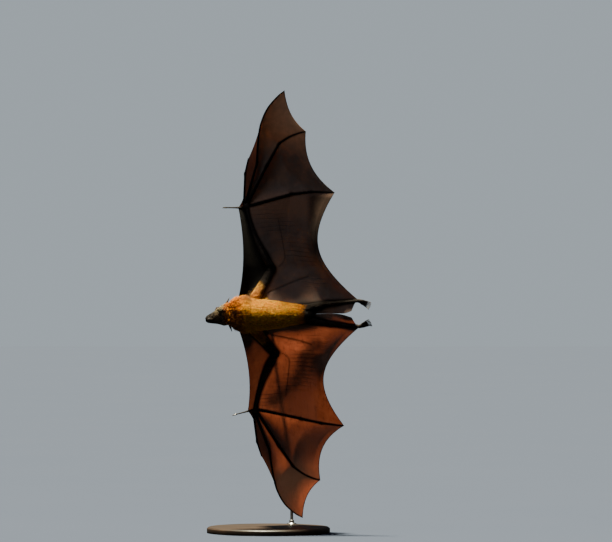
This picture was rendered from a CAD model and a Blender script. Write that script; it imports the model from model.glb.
import math

import bmesh
import bpy
import numpy as np
from mathutils import Matrix, Vector
from mathutils.kdtree import KDTree


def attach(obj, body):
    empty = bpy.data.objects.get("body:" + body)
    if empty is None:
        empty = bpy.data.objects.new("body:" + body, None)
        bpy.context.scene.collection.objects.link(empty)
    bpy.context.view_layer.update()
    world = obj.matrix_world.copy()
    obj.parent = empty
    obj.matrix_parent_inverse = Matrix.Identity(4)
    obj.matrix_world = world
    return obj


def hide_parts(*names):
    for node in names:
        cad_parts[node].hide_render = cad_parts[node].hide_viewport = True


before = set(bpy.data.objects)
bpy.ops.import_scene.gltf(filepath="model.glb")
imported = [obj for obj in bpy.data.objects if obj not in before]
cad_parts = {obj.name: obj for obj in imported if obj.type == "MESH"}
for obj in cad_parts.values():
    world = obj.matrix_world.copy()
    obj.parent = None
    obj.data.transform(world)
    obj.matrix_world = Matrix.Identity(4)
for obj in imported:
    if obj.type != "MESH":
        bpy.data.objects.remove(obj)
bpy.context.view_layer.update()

# ------------------------------------------------------------------ the bat's own frame
# Shapes are made in millimetres in the bat's frame: x towards the nose, y towards the left wing and z
# towards the back. to_stand() then puts each one into the stand's frame, in metres.

BODY_AT = Vector((-8, -130, 583))
BANK = math.radians(78)
NOSE_DOWN = math.radians(2.4)
FORWARD = Vector((-math.cos(NOSE_DOWN), 0, -math.sin(NOSE_DOWN)))
RISING = Vector((-math.sin(NOSE_DOWN), 0, math.cos(NOSE_DOWN)))
LEFT = Vector((0, -1, 0)) * math.cos(BANK) + RISING * math.sin(BANK)
BACK = FORWARD.cross(LEFT)
BAT_TO_STAND = Matrix.Scale(0.001, 4) @ (
    Matrix.Translation(BODY_AT) @ Matrix((FORWARD, LEFT, BACK)).transposed().to_4x4()
)
UP = np.array([0.0, 0.0, 1.0])

# ------------------------------------------------------------------ bones and lines of the left wing

SHOULDER = (34, 33, 8)
HUMERUS = (109, 34, 23)  # length, sweep towards the tail and rise towards the back, in degrees
FOREARM = (179, -20.2, 14)
FOREARM_BOW = 9
FINGERS = {
    2: dict(root=(6.5, 7, 0), bones=[(81, 4.5, -1), (39, 15, 0)], radii=(2.2, 1.7, 1.2), bow=(0, 0)),
    3: dict(
        root=(0.5, 8.5, 0),
        bones=[(112, 18, -0.5), (85, 6, -2.5), (128, 34, 4)],
        radii=(2.6, 2.1, 1.6, 0.8),
        bow=(0, 1, 15),
    ),
    4: dict(
        root=(-5.5, 7.5, 0),
        bones=[(110, 29, 4), (67, 31, 5), (87, 63.5, -20)],
        radii=(2.5, 2.1, 1.6, 0.8),
        bow=(0, 0, 6),
    ),
    5: dict(
        root=(-9, 0, 0),
        bones=[(115, 76, -3.5), (59, 81, -22), (69, 88, -28)],
        radii=(2.9, 2.3, 1.7, 0.8),
        bow=(0, 0, 0),
    ),
}
THUMB_ROOT = (6, -3, 0)
THUMB_BONES = {"left": [(18, -92, 0), (31, -84, -16)], "right": [(18, -70, 0), (31, -81, -16)]}
HIP, KNEE, ANKLE = (-100, 13, -4), (-167, 27, -7), (-250, 35, -25)


def bone_end(start, bone):
    length, sweep, rise = bone[0], math.radians(bone[1]), math.radians(bone[2])
    step = (-math.sin(sweep) * math.cos(rise), math.cos(sweep) * math.cos(rise), math.sin(rise))
    return np.asarray(start, float) + length * np.array(step)


def joints_from(start, bones):
    joints = [np.asarray(start, float)]
    for bone in bones:
        joints.append(bone_end(joints[-1], bone))
    return joints


def smooth_line(points, samples=360):
    """A smooth curve through points, given back as evenly spaced samples."""
    points = np.asarray(points, float)
    ends = 2 * points[[0, -1]] - points[[1, -2]]
    padded = np.vstack([ends[:1], points, ends[1:]])
    parts = []
    for p0, p1, p2, p3 in zip(padded, padded[1:], padded[2:], padded[3:]):
        d0, d1, d2 = (max(np.linalg.norm(b - a), 1e-6) ** 0.5 for a, b in ((p0, p1), (p1, p2), (p2, p3)))
        m1 = ((p1 - p0) / d0 - (p2 - p0) / (d0 + d1) + (p2 - p1) / d1) * d1
        m2 = ((p2 - p1) / d1 - (p3 - p1) / (d1 + d2) + (p3 - p2) / d2) * d1
        t = np.linspace(0, 1, 40, endpoint=False)[:, None]
        curve = (2 * p1 - 2 * p2 + m1 + m2) * t**3 + (-3 * p1 + 3 * p2 - 2 * m1 - m2) * t**2 + m1 * t + p1
        parts.append(curve)
    dense = np.vstack([*parts, points[-1:]])
    run = np.concatenate([[0], np.cumsum(np.linalg.norm(np.diff(dense, axis=0), axis=1))])
    even = np.linspace(0, run[-1], samples + 1)
    return np.stack([np.interp(even, run, dense[:, k]) for k in range(3)], axis=1)


def at_share(line, share):
    place = np.clip(np.asarray(share, float), 0, 1) * (len(line) - 1)
    low = np.minimum(place.astype(int), len(line) - 2)
    part = (place - low)[..., None]
    return line[low] * (1 - part) + line[low + 1] * part


def unit(vectors):
    return vectors / np.maximum(np.linalg.norm(vectors, axis=-1, keepdims=True), 1e-9)


def headings(line):
    return unit(np.gradient(line, axis=0))


def bone_line(joints, bow=()):
    """A line through joints that keeps each bone nearly straight between them."""
    points = [joints[0]]
    for i, (a, b) in enumerate(zip(joints, joints[1:])):
        out = (unit(np.cross(b - a, UP)) - 0.5 * UP) * (bow[i] if i < len(bow) else 0)
        points += [a + (b - a) * share + out * (1 if share == 0.5 else 0.52) for share in (0.15, 0.5, 0.85)]
        points.append(b)
    return smooth_line(points)


def finger_radii(joints, radii, samples=361):
    """Radius at each sample of a finger: tapering, with a small knuckle at each joint."""
    reach = np.concatenate([[0], np.cumsum([np.linalg.norm(b - a) for a, b in zip(joints, joints[1:])])])
    place = np.linspace(0, reach[-1], samples)
    bare = np.interp(place, reach, radii)
    knuckles = sum(np.exp(-((place - r) ** 2) / 26) for r in reach[1:-1])
    return bare * (1 + 0.4 * knuckles)


shoulder = np.array(SHOULDER, float)
elbow = bone_end(shoulder, HUMERUS)
wrist = bone_end(elbow, FOREARM)
hip, knee, ankle = (np.array(p, float) for p in (HIP, KNEE, ANKLE))
for finger in FINGERS.values():
    finger["joints"] = joints_from(wrist + finger["root"], finger["bones"])
    finger["line"] = bone_line(finger["joints"], finger["bow"])
    finger["widths"] = finger_radii(finger["joints"], finger["radii"])
thumbs = {word: joints_from(wrist + THUMB_ROOT, bones) for word, bones in THUMB_BONES.items()}
arm_line = bone_line([shoulder, elbow, wrist], (0, FOREARM_BOW))
forearm_line = bone_line([elbow, wrist], (FOREARM_BOW,))
leg_line = bone_line([hip, knee, ankle])
flank_line = smooth_line(
    [(26, 34, 10), (-6, 33, 10), (-40, 28, 8), (-72, 23, 4), (-102, 17, 0), knee + (0, 1, 0)]
    + [(knee + ankle) / 2, ankle]
)
UPPER_ARM_RADII = (19, 16.5, 13.5, 11, 9.6, 8.8, 8.4)
FOREARM_RADII = (7.6, 10, 8.4, 6.2, 4.8, 4.2, 4.4)
LEG_RADII = (13, 10.5, 7, 5.6, 4.6, 4.4)

# ------------------------------------------------------------------ trunk and head stations
# [x, sideways shift, middle height, half width, half height above, half height below] of the coat's outside

TRUNK = np.array(
    [
        [93, 8.2, 4, 33, 25, 26],
        [83, 7.8, 2.5, 41, 31.5, 32.5],
        [70, 7, 1, 45.5, 35, 37],
        [58, 6.2, 1, 46.5, 37, 39],
        [40, 4.8, 1, 45, 38, 41],
        [18, 3.2, 1, 43.5, 38, 41],
        [-8, 2, 1, 40.5, 37, 38],
        [-36, 1, 0, 36.5, 34, 34],
        [-64, 0.5, -1, 31.5, 29.5, 29],
        [-90, 0, -2, 26.5, 25, 24],
        [-110, 0, -3, 20.5, 19, 18.5],
        [-124, 0, -4, 12, 12, 12],
        [-130, 0, -4, 5, 5, 5],
    ]
)
HEAD_AT = Vector((90, 8.2, 2))
HEAD_TURN = (
    Matrix.Translation(HEAD_AT)
    @ Matrix.Rotation(math.radians(-9.3), 4, "Z")
    @ Matrix.Rotation(math.radians(7), 4, "Y")
)
HEAD = np.array(
    [
        [-17, 2, 13, 11, 12],
        [-13, 2, 24, 18, 19],
        [-2, 3, 31.5, 23.5, 24],
        [10, 3.5, 31, 23, 23],
        [21, 2, 28.5, 20, 19.5],
        [32, 0, 24.2, 16.5, 16],
        [42, -2, 18.6, 13, 13],
        [52, -3.2, 14.6, 10.4, 10.6],
        [60, -3.2, 11.4, 9, 8.8],
        [66, -2.8, 8.6, 7.2, 6.8],
        [69.5, -2.4, 4.2, 3.8, 3.4],
    ]
)
EYE_AT, EYE_LOOK, EYE_RADIUS = (31, 17.6, 7), (0.5, 1, 0.5), 6.6
EAR_BASE, EAR_TIPS = (8, 22.5, 13), {"left": (-7, 38, 28), "right": (6, 53, 22)}
NOSTRIL_AT = (67, 3.5, -0.6)


# ------------------------------------------------------------------ making pieces


def into_head(points):
    turn = np.array(HEAD_TURN)
    return np.asarray(points, float) @ turn[:3, :3].T + turn[:3, 3]


def out_of_head(points):
    turn = np.array(HEAD_TURN.inverted())
    return np.asarray(points, float) @ turn[:3, :3].T + turn[:3, 3]


def begin(name):
    """A new empty piece at the origin, in edit mode."""
    if bpy.context.object and bpy.context.object.mode != "OBJECT":
        bpy.ops.object.mode_set(mode="OBJECT")
    bpy.ops.object.select_all(action="DESELECT")
    bpy.ops.object.add(type="MESH", location=(0, 0, 0))
    piece = bpy.context.object
    piece.name = piece.data.name = name
    bpy.ops.object.mode_set(mode="EDIT")
    return piece


def place_selected(matrix):
    """Puts the selected vertices of the piece in edit mode where a matrix says."""
    shape = bmesh.from_edit_mesh(bpy.context.object.data)
    for vertex in shape.verts:
        if vertex.select:
            vertex.co = matrix @ vertex.co
    bmesh.update_edit_mesh(bpy.context.object.data)


def ring_at(centre, across, above, sides=24):
    """An oval ring round a centre, with its two half axes."""
    bpy.ops.mesh.select_all(action="DESELECT")
    bpy.ops.mesh.primitive_circle_add(vertices=sides, radius=1)
    across, above = Vector(across), Vector(above)
    ahead = across.cross(above).normalized()
    turn = Matrix((across, above, ahead)).transposed().to_4x4()
    place_selected(Matrix.Translation(Vector(centre)) @ turn)


def close_rings(cuts=2):
    """Joins the rings in a row into one closed form."""
    bpy.ops.mesh.select_all(action="SELECT")
    bpy.ops.mesh.bridge_edge_loops(type="SINGLE", number_cuts=cuts, interpolation="SURFACE")
    bpy.ops.mesh.select_all(action="DESELECT")
    bpy.ops.mesh.select_non_manifold()
    bpy.ops.mesh.edge_face_add()
    bpy.ops.mesh.select_all(action="SELECT")
    bpy.ops.mesh.normals_make_consistent(inside=False)
    bpy.ops.object.mode_set(mode="OBJECT")


def station_form(name, stations, inset):
    """A closed form through stations, inset by the coat's depth."""
    piece = begin(name)
    for (x, shift, middle, half, above, below), depth in zip(stations, inset):
        centre = (x, shift, middle + (above - below) / 2)
        ring_at(centre, (0, max(half - depth, 2), 0), (0, 0, max((above + below) / 2 - depth, 2)))
    close_rings()
    return piece


def limb(name, line, shares, radii, squash=1.0, facing=UP, sides=16, cuts=2):
    """A closed limb along a line, with its radius at each share of the way."""
    piece = begin(name)
    directions = headings(line)
    for share, radius, flatness in zip(shares, radii, np.broadcast_to(squash, len(radii))):
        heading = unit(at_share(directions, share))
        flat = unit(facing - heading * np.dot(facing, heading))
        across = np.cross(heading, flat)
        ring_at(at_share(line, share), across * radius, flat * radius * flatness, sides)
    close_rings(cuts)
    return piece


def ball(name, centre, radii, turn=Matrix.Identity(4)):
    piece = begin(name)
    bpy.ops.mesh.primitive_uv_sphere_add(segments=24, ring_count=14, radius=1)
    place_selected(Matrix.Translation(Vector(centre)) @ turn @ Matrix.Diagonal((*radii, 1)))
    bpy.ops.object.mode_set(mode="OBJECT")
    return piece


def joined(name, parts):
    bpy.ops.object.select_all(action="DESELECT")
    for part in parts:
        part.select_set(True)
    bpy.context.view_layer.objects.active = parts[0]
    bpy.ops.object.join()
    parts[0].name = parts[0].data.name = name
    return parts[0]


def apply_modifier(piece, kind, **settings):
    bpy.ops.object.select_all(action="DESELECT")
    piece.select_set(True)
    bpy.context.view_layer.objects.active = piece
    modifier = piece.modifiers.new(kind.lower(), kind)
    for name, value in settings.items():
        setattr(modifier, name, value)
    bpy.ops.object.modifier_apply(modifier=modifier.name)


def fused(name, parts, grain, rounds):
    """Parts grown together into one closed skin and smoothed where they meet."""
    piece = joined(name, parts)
    apply_modifier(piece, "REMESH", mode="VOXEL", voxel_size=grain)
    apply_modifier(piece, "SMOOTH", factor=0.5, iterations=rounds)
    return piece


def points_of(piece):
    flat = np.empty(len(piece.data.vertices) * 3)
    piece.data.vertices.foreach_get("co", flat)
    return flat.reshape(-1, 3)


def set_points(piece, points):
    piece.data.vertices.foreach_set("co", np.asarray(points, float).ravel())
    piece.data.update()


def normals_of(piece):
    flat = np.empty(len(piece.data.vertices) * 3)
    piece.data.vertex_normals.foreach_get("vector", flat)
    return flat.reshape(-1, 3)


def mirrored(piece, name):
    """The same piece on the other side of the body."""
    twin = piece.copy()
    twin.data = piece.data.copy()
    twin.name = twin.data.name = name
    bpy.context.scene.collection.objects.link(twin)
    twin.data.transform(Matrix.Diagonal((1, -1, 1, 1)))
    twin.data.flip_normals()
    return twin


def mesh_piece(name, points, faces, values=None):
    """A piece from points and faces, with a value at each point under each given name."""
    mesh = bpy.data.meshes.new(name)
    faces = np.asarray(faces)
    count, corners = faces.shape
    mesh.vertices.add(len(points))
    mesh.vertices.foreach_set("co", np.asarray(points, np.float32).ravel())
    mesh.loops.add(count * corners)
    mesh.loops.foreach_set("vertex_index", faces.astype(np.int32).ravel())
    mesh.polygons.add(count)
    mesh.polygons.foreach_set("loop_start", np.arange(0, count * corners, corners, dtype=np.int32))
    mesh.update(calc_edges=True)
    for word, numbers in (values or {}).items():
        mesh.attributes.new(word, "FLOAT", "POINT").data.foreach_set("value", np.asarray(numbers, np.float32))
    piece = bpy.data.objects.new(name, mesh)
    bpy.context.scene.collection.objects.link(piece)
    return piece


def to_stand(piece, material, slot, stands_for=(), smooth=True):
    """Puts a piece into the stand's frame with its finish, and says which nodes it replaces."""
    piece.data.transform(BAT_TO_STAND)
    dress(piece, material, slot, stands_for, smooth)


def dress(piece, material, slot, stands_for=(), smooth=True):
    piece.data.materials.clear()
    piece.data.materials.append(material)
    if smooth:
        piece.data.shade_smooth()
    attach(piece, "root")
    if stands_for:
        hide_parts(*stands_for)


# ------------------------------------------------------------------ finishes


def shader_node(tree, kind, values=None, **settings):
    made = tree.nodes.new(kind)
    for name, value in settings.items():
        setattr(made, name, value)
    for socket, value in (values or {}).items():
        if isinstance(value, bpy.types.NodeSocket):
            tree.links.new(value, made.inputs[socket])
        else:
            made.inputs[socket].default_value = value
    return made


def maths(tree, operation, *values, clamp=False):
    made = shader_node(tree, "ShaderNodeMath", dict(enumerate(values)), operation=operation, use_clamp=clamp)
    return made.outputs[0]


def graded(tree, value, low, high, start=0.0, end=1.0):
    """A smooth step of a value from start, at low, to end, at high."""
    values = {"Value": value, "From Min": low, "From Max": high, "To Min": start, "To Max": end}
    made = shader_node(tree, "ShaderNodeMapRange", values, interpolation_type="SMOOTHSTEP")
    return made.outputs[0]


def blended(tree, share, first, second, how="MIX"):
    made = shader_node(tree, "ShaderNodeMix", data_type="RGBA", blend_type=how)
    for socket, value in ((made.inputs[0], share), (made.inputs[6], first), (made.inputs[7], second)):
        if isinstance(value, bpy.types.NodeSocket):
            tree.links.new(value, socket)
        else:
            socket.default_value = value if isinstance(value, (int, float)) else (*value, 1)
    return made.outputs[2]


def speckle(tree, place, scale, detail=3.0, roughness=0.55):
    values = {"Vector": place, "Scale": scale, "Detail": detail, "Roughness": roughness}
    return shader_node(tree, "ShaderNodeTexNoise", values).outputs["Fac"]


def effect_group(name, inputs, outputs):
    """An empty shader node group with named sockets, and its input and output nodes."""
    tree = bpy.data.node_groups.new(name, "ShaderNodeTree")
    kinds = {"value": "NodeSocketFloat", "vector": "NodeSocketVector", "colour": "NodeSocketColor"}
    for word, kind in inputs.items():
        tree.interface.new_socket(word, in_out="INPUT", socket_type=kinds[kind])
    for word, kind in outputs.items():
        tree.interface.new_socket(word, in_out="OUTPUT", socket_type=kinds[kind])
    return tree, tree.nodes.new("NodeGroupInput"), tree.nodes.new("NodeGroupOutput")


def in_group(tree, group, values=None):
    made = shader_node(tree, "ShaderNodeGroup")
    made.node_tree = group
    for socket, value in (values or {}).items():
        if isinstance(value, bpy.types.NodeSocket):
            tree.links.new(value, made.inputs[socket])
        else:
            made.inputs[socket].default_value = value
    return made.outputs


def bat_place_group():
    """Turns a place in the stand's frame into millimetres along the bat's own three directions."""
    tree, into, out = effect_group(
        "bat_place", {"Place": "vector"}, {"Along": "value", "Side": "value", "Height": "value", "Spot": "vector"}
    )
    centre = shader_node(tree, "ShaderNodeVectorMath", operation="SUBTRACT")
    tree.links.new(into.outputs["Place"], centre.inputs[0])
    centre.inputs[1].default_value = BODY_AT * 0.001
    spot = shader_node(tree, "ShaderNodeCombineXYZ")
    for i, (word, axis) in enumerate((("Along", FORWARD), ("Side", LEFT), ("Height", BACK))):
        reach = shader_node(tree, "ShaderNodeVectorMath", operation="DOT_PRODUCT")
        tree.links.new(centre.outputs[0], reach.inputs[0])
        reach.inputs[1].default_value = axis * 1000
        tree.links.new(reach.outputs["Value"], out.inputs[word])
        tree.links.new(reach.outputs["Value"], spot.inputs[i])
    tree.links.new(spot.outputs[0], out.inputs["Spot"])
    return tree


def markings_group(place_group):
    """The coat's colours over the whole body, the same for the skin and for each tuft on it."""
    tree, into, out = effect_group("coat_markings", {"Place": "vector"}, {"Color": "colour", "Bare": "value", "Spot": "vector"})
    spot = in_group(tree, place_group, {"Place": into.outputs["Place"]})
    along, side, height, place = (spot[word] for word in ("Along", "Side", "Height", "Spot"))
    patches = speckle(tree, place, 0.06, 3)
    streaks = speckle(tree, place, 0.22, 2)
    wander = maths(tree, "MULTIPLY", maths(tree, "SUBTRACT", patches, 0.5), 26)
    along = maths(tree, "ADD", along, wander)
    apart = maths(tree, "ABSOLUTE", side)
    lean = maths(tree, "ADD", height, maths(tree, "MULTIPLY", wander, 0.5))
    gold = blended(tree, graded(tree, streaks, 0.35, 0.7), (0.88, 0.36, 0.010), (0.98, 0.56, 0.030))
    gold = blended(tree, graded(tree, along, -74, -96), gold, (0.70, 0.25, 0.015))
    gold = blended(tree, graded(tree, along, 30, 60), gold, (0.84, 0.36, 0.008))
    gold = blended(tree, graded(tree, apart, 36, 56), gold, (0.38, 0.125, 0.012))
    rust = blended(tree, graded(tree, streaks, 0.4, 0.65), (0.36, 0.085, 0.003), (0.66, 0.25, 0.006))
    mantle = blended(tree, graded(tree, streaks, 0.35, 0.7), (0.42, 0.185, 0.022), (0.58, 0.33, 0.06))
    loins = blended(tree, graded(tree, streaks, 0.4, 0.7), (0.022, 0.013, 0.010), (0.075, 0.042, 0.024))
    upper = blended(tree, graded(tree, along, -14, 14), loins, mantle)
    under = blended(tree, graded(tree, along, 50, 68), gold, rust)
    trunk = blended(tree, graded(tree, lean, 6, 20), under, upper)
    throat = shader_node(tree, "ShaderNodeVectorMath", {0: place, 1: (85, 16, -35)}, operation="DISTANCE")
    hollow = graded(tree, throat.outputs["Value"], 18, 7)
    trunk = blended(tree, maths(tree, "MULTIPLY", hollow, 0.8), trunk, (0.05, 0.018, 0.008))
    face = blended(tree, graded(tree, streaks, 0.35, 0.7), (0.080, 0.046, 0.028), (0.22, 0.135, 0.075))
    cheek = blended(tree, graded(tree, streaks, 0.35, 0.7), (0.16, 0.118, 0.070), (0.38, 0.30, 0.17))
    face = blended(tree, graded(tree, apart, 10, 20), face, cheek)
    trunk = blended(tree, graded(tree, along, 99, 115), trunk, face)
    muzzle = graded(tree, along, 126, 150)
    trunk = blended(tree, muzzle, trunk, (0.022, 0.017, 0.015))
    dark = (0.020, 0.013, 0.011)
    out_along_arm = maths(tree, "SUBTRACT", maths(tree, "ADD", apart, wander), maths(tree, "MULTIPLY", along, 0.55))
    arm = maths(tree, "MULTIPLY", graded(tree, out_along_arm, 74, 88), graded(tree, apart, 50, 58))
    trunk = blended(tree, arm, trunk, dark)
    leg = graded(tree, along, -94, -110)
    trunk = blended(tree, leg, trunk, (0.026, 0.016, 0.012))
    lids = 0.0
    for sign in (1, -1):
        centre = HEAD_TURN @ Vector((EYE_AT[0] + 1.4, sign * (EYE_AT[1] + 2.8), EYE_AT[2] + 1.4))
        apart = shader_node(tree, "ShaderNodeVectorMath", {0: place, 1: centre}, operation="DISTANCE").outputs["Value"]
        lids = maths(tree, "MAXIMUM", lids, graded(tree, apart, 10.5, 8.0))
    trunk = blended(tree, lids, trunk, (0.020, 0.013, 0.010))
    tree.links.new(trunk, out.inputs["Color"])
    bare = maths(tree, "MAXIMUM", maths(tree, "MAXIMUM", arm, muzzle), graded(tree, along, -215, -235))
    tree.links.new(maths(tree, "MAXIMUM", bare, lids), out.inputs["Bare"])
    tree.links.new(place, out.inputs["Spot"])
    return tree


def leather_group(place_group):
    """Grain of bare skin: fine creases as height, and a tone that wanders."""
    tree, into, out = effect_group("leather_grain", {"Place": "vector"}, {"Height": "value", "Tone": "value"})
    place = in_group(tree, place_group, {"Place": into.outputs["Place"]})["Spot"]
    cells = shader_node(
        tree, "ShaderNodeTexVoronoi", {"Vector": place, "Scale": 1.7}, feature="DISTANCE_TO_EDGE"
    ).outputs["Distance"]
    creases = graded(tree, cells, 0.0, 0.22)
    fine = speckle(tree, place, 2.6, 4)
    height = maths(tree, "ADD", creases, maths(tree, "MULTIPLY", fine, 0.8))
    tree.links.new(height, out.inputs["Height"])
    tree.links.new(speckle(tree, place, 0.12, 4), out.inputs["Tone"])
    return tree


def finish_material(name):
    material = bpy.data.materials.new(name)
    material.use_nodes = True
    tree = material.node_tree
    tree.nodes.clear()
    out = tree.nodes.new("ShaderNodeOutputMaterial")
    surface = tree.nodes.new("ShaderNodeBsdfPrincipled")
    tree.links.new(surface.outputs[0], out.inputs["Surface"])
    place = tree.nodes.new("ShaderNodeTexCoord").outputs["Object"]
    return material, tree, surface, out, place


def bumped(tree, surface, height, distance, strength=1.0):
    values = {"Height": height, "Distance": distance, "Strength": strength}
    tree.links.new(shader_node(tree, "ShaderNodeBump", values).outputs[0], surface.inputs["Normal"])


def number_on(tree, word):
    """A value kept at each point of the piece under a name."""
    return shader_node(tree, "ShaderNodeAttribute", attribute_name=word, attribute_type="GEOMETRY").outputs["Fac"]


def coat_material(markings):
    """Tufts of fur: the markings, darker at the roots, with each tuft a little lighter or darker."""
    material, tree, surface, out, place = finish_material("fur")
    colour = in_group(tree, markings, {"Place": place})["Color"]
    along, shade = number_on(tree, "along_tuft"), number_on(tree, "tuft_shade")
    depth = graded(tree, along, 0.0, 0.75, 0.30, 1.0)
    tone = maths(tree, "MULTIPLY", depth, maths(tree, "ADD", maths(tree, "MULTIPLY", shade, 0.75), 0.62))
    grey = shader_node(tree, "ShaderNodeCombineColor", {0: tone, 1: tone, 2: tone}).outputs[0]
    tree.links.new(blended(tree, 1.0, colour, grey, "MULTIPLY"), surface.inputs["Base Color"])
    tree.links.new(graded(tree, shade, 0, 1, 0.62, 0.85), surface.inputs["Roughness"])
    surface.inputs["Specular IOR Level"].default_value = 0.14
    surface.inputs["Sheen Weight"].default_value = 0.06
    return material


def skin_material(markings, leather):
    """The skin under the coat and bare on the arms, feet and nose."""
    material, tree, surface, out, place = finish_material("body_skin")
    marks = in_group(tree, markings, {"Place": place})
    grain = in_group(tree, leather, {"Place": place})
    under_coat = blended(tree, 1.0, marks["Color"], (0.42, 0.40, 0.38), "MULTIPLY")
    combed = shader_node(tree, "ShaderNodeMapping", {"Vector": marks["Spot"], "Scale": (0.7, 4.5, 4.5)}).outputs[0]
    nap = speckle(tree, combed, 1.0, 3, 0.6)
    bare = blended(tree, graded(tree, grain["Tone"], 0.3, 0.7), (0.010, 0.007, 0.007), (0.026, 0.018, 0.015))
    colour = blended(tree, marks["Bare"], under_coat, bare)
    tree.links.new(colour, surface.inputs["Base Color"])
    tree.links.new(graded(tree, grain["Height"], 0.2, 1.5, 0.74, 0.54), surface.inputs["Roughness"])
    height = maths(tree, "ADD", maths(tree, "MULTIPLY", grain["Height"], 0.6), maths(tree, "MULTIPLY", nap, 1.6))
    bumped(tree, surface, height, 0.00016)
    surface.inputs["Specular IOR Level"].default_value = 0.16
    return material


def ear_material(leather):
    material, tree, surface, out, place = finish_material("ear_skin")
    grain = in_group(tree, leather, {"Place": place})
    colour = blended(tree, graded(tree, grain["Tone"], 0.3, 0.7), (0.014, 0.010, 0.009), (0.040, 0.026, 0.022))
    tree.links.new(colour, surface.inputs["Base Color"])
    tree.links.new(graded(tree, grain["Height"], 0.2, 1.5, 0.6, 0.42), surface.inputs["Roughness"])
    bumped(tree, surface, grain["Height"], 0.00009)
    return material


def wing_material(place_group, leather):
    """Thin dark wing skin that glows red-brown with light behind it, darker along bones and hems."""
    material, tree, surface, out, place = finish_material("wing_skin")
    spot = in_group(tree, place_group, {"Place": place})
    apart = maths(tree, "ABSOLUTE", spot["Side"])
    wing_tip = graded(tree, apart, 400, 480)
    grain = in_group(tree, leather, {"Place": place})
    band, hem, strand_zone, muscle = (
        number_on(tree, word) for word in ("bone_band", "hem", "strand_zone", "muscle_sheet")
    )
    cloudy = speckle(tree, spot["Spot"], 0.014, 5, 0.6)
    mottled = speckle(tree, spot["Spot"], 0.075, 4, 0.6)
    # muscle strands run along the body through the middle of the wing, and fine fibres cross them
    waves = {"Vector": spot["Spot"], "Scale": 0.0282, "Distortion": 3.0, "Detail": 2, "Detail Scale": 0.7}
    waves = shader_node(tree, "ShaderNodeTexWave", waves, bands_direction="Y").outputs["Fac"]
    drawn = shader_node(tree, "ShaderNodeMapping", {"Vector": spot["Spot"], "Scale": (0.011, 0.045, 0.01)})
    present = graded(tree, speckle(tree, drawn.outputs[0], 1.0, 1), 0.42, 0.58)
    strands = maths(tree, "MULTIPLY", maths(tree, "MULTIPLY", graded(tree, waves, 0.035, 0.0), present), strand_zone)
    strands = maths(tree, "SUBTRACT", 1.0, maths(tree, "MULTIPLY", strands, 0.85))
    fibre = shader_node(tree, "ShaderNodeMapping", {"Vector": spot["Spot"], "Scale": (0.10, 0.012, 0.02)})
    fibres = speckle(tree, fibre.outputs[0], 1.0, 2, 0.5)
    fibres = graded(tree, maths(tree, "ABSOLUTE", maths(tree, "SUBTRACT", fibres, 0.5)), 0.0, 0.016, 0.70, 1.0)
    # light through the skin
    glow = blended(tree, graded(tree, cloudy, 0.3, 0.7), (0.53, 0.243, 0.165), (0.61, 0.30, 0.21))
    glow = blended(tree, graded(tree, mottled, 0.35, 0.7), glow, (0.50, 0.223, 0.15))
    thick = maths(tree, "MAXIMUM", band, hem)
    veil = maths(tree, "MULTIPLY", muscle, graded(tree, mottled, 0.3, 0.7, 0.42, 0.62))
    clear = maths(tree, "MULTIPLY", maths(tree, "SUBTRACT", 1.0, thick), maths(tree, "SUBTRACT", 1.0, veil))
    clear = maths(tree, "MULTIPLY", clear, maths(tree, "MULTIPLY", strands, fibres))
    clear = maths(tree, "MULTIPLY", clear, graded(tree, apart, 370, 450, 1.0, 1.55))
    clear = maths(tree, "MULTIPLY", clear, graded(tree, apart, 90, 230, 1.12, 0.96))
    clear_grey = shader_node(tree, "ShaderNodeCombineColor", {0: clear, 1: clear, 2: clear}).outputs[0]
    behind = tree.nodes.new("ShaderNodeBsdfTranslucent")
    tree.links.new(blended(tree, 1.0, glow, clear_grey, "MULTIPLY"), behind.inputs["Color"])
    # light on the skin
    lit = blended(tree, graded(tree, mottled, 0.3, 0.75), (0.155, 0.109, 0.097), (0.27, 0.19, 0.165))
    warm = maths(tree, "MULTIPLY", graded(tree, apart, 210, 280), graded(tree, apart, 330, 290, 0.0, 0.8))
    warm = maths(tree, "MAXIMUM", warm, graded(tree, cloudy, 0.45, 0.75))
    lit = blended(tree, warm, lit, (0.42, 0.22, 0.15))
    lit = blended(tree, maths(tree, "MULTIPLY", wing_tip, 0.9), lit, (0.90, 0.46, 0.27))
    lit = blended(tree, strands, (0.03, 0.024, 0.022), lit)
    # the curled rear edge would shine where it faces up
    curl = maths(tree, "MULTIPLY", graded(tree, spot["Along"], -114, -142), graded(tree, apart, 130, 190))
    curl = maths(tree, "MULTIPLY", curl, graded(tree, apart, 318, 300, 0.0, 0.88))
    lit = blended(tree, curl, lit, (0.030, 0.023, 0.020))
    lit = blended(tree, number_on(tree, "belly_side"), (0.030, 0.023, 0.020), lit)
    lit = blended(tree, thick, lit, (0.004, 0.003, 0.003))
    tree.links.new(lit, surface.inputs["Base Color"])
    rough = maths(tree, "ADD", graded(tree, mottled, 0.3, 0.7, 0.48, 0.62), maths(tree, "MULTIPLY", thick, 0.3))
    tree.links.new(rough, surface.inputs["Roughness"])
    surface.inputs["Specular IOR Level"].default_value = 0.16
    height = maths(tree, "ADD", maths(tree, "MULTIPLY", grain["Height"], 0.22), maths(tree, "MULTIPLY", strands, -0.8))
    bumped(tree, surface, height, 0.0003)
    both = shader_node(tree, "ShaderNodeMixShader", {0: 0.41})
    tree.links.new(surface.outputs[0], both.inputs[1])
    tree.links.new(behind.outputs[0], both.inputs[2])
    tree.links.new(both.outputs[0], out.inputs["Surface"])
    return material


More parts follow.
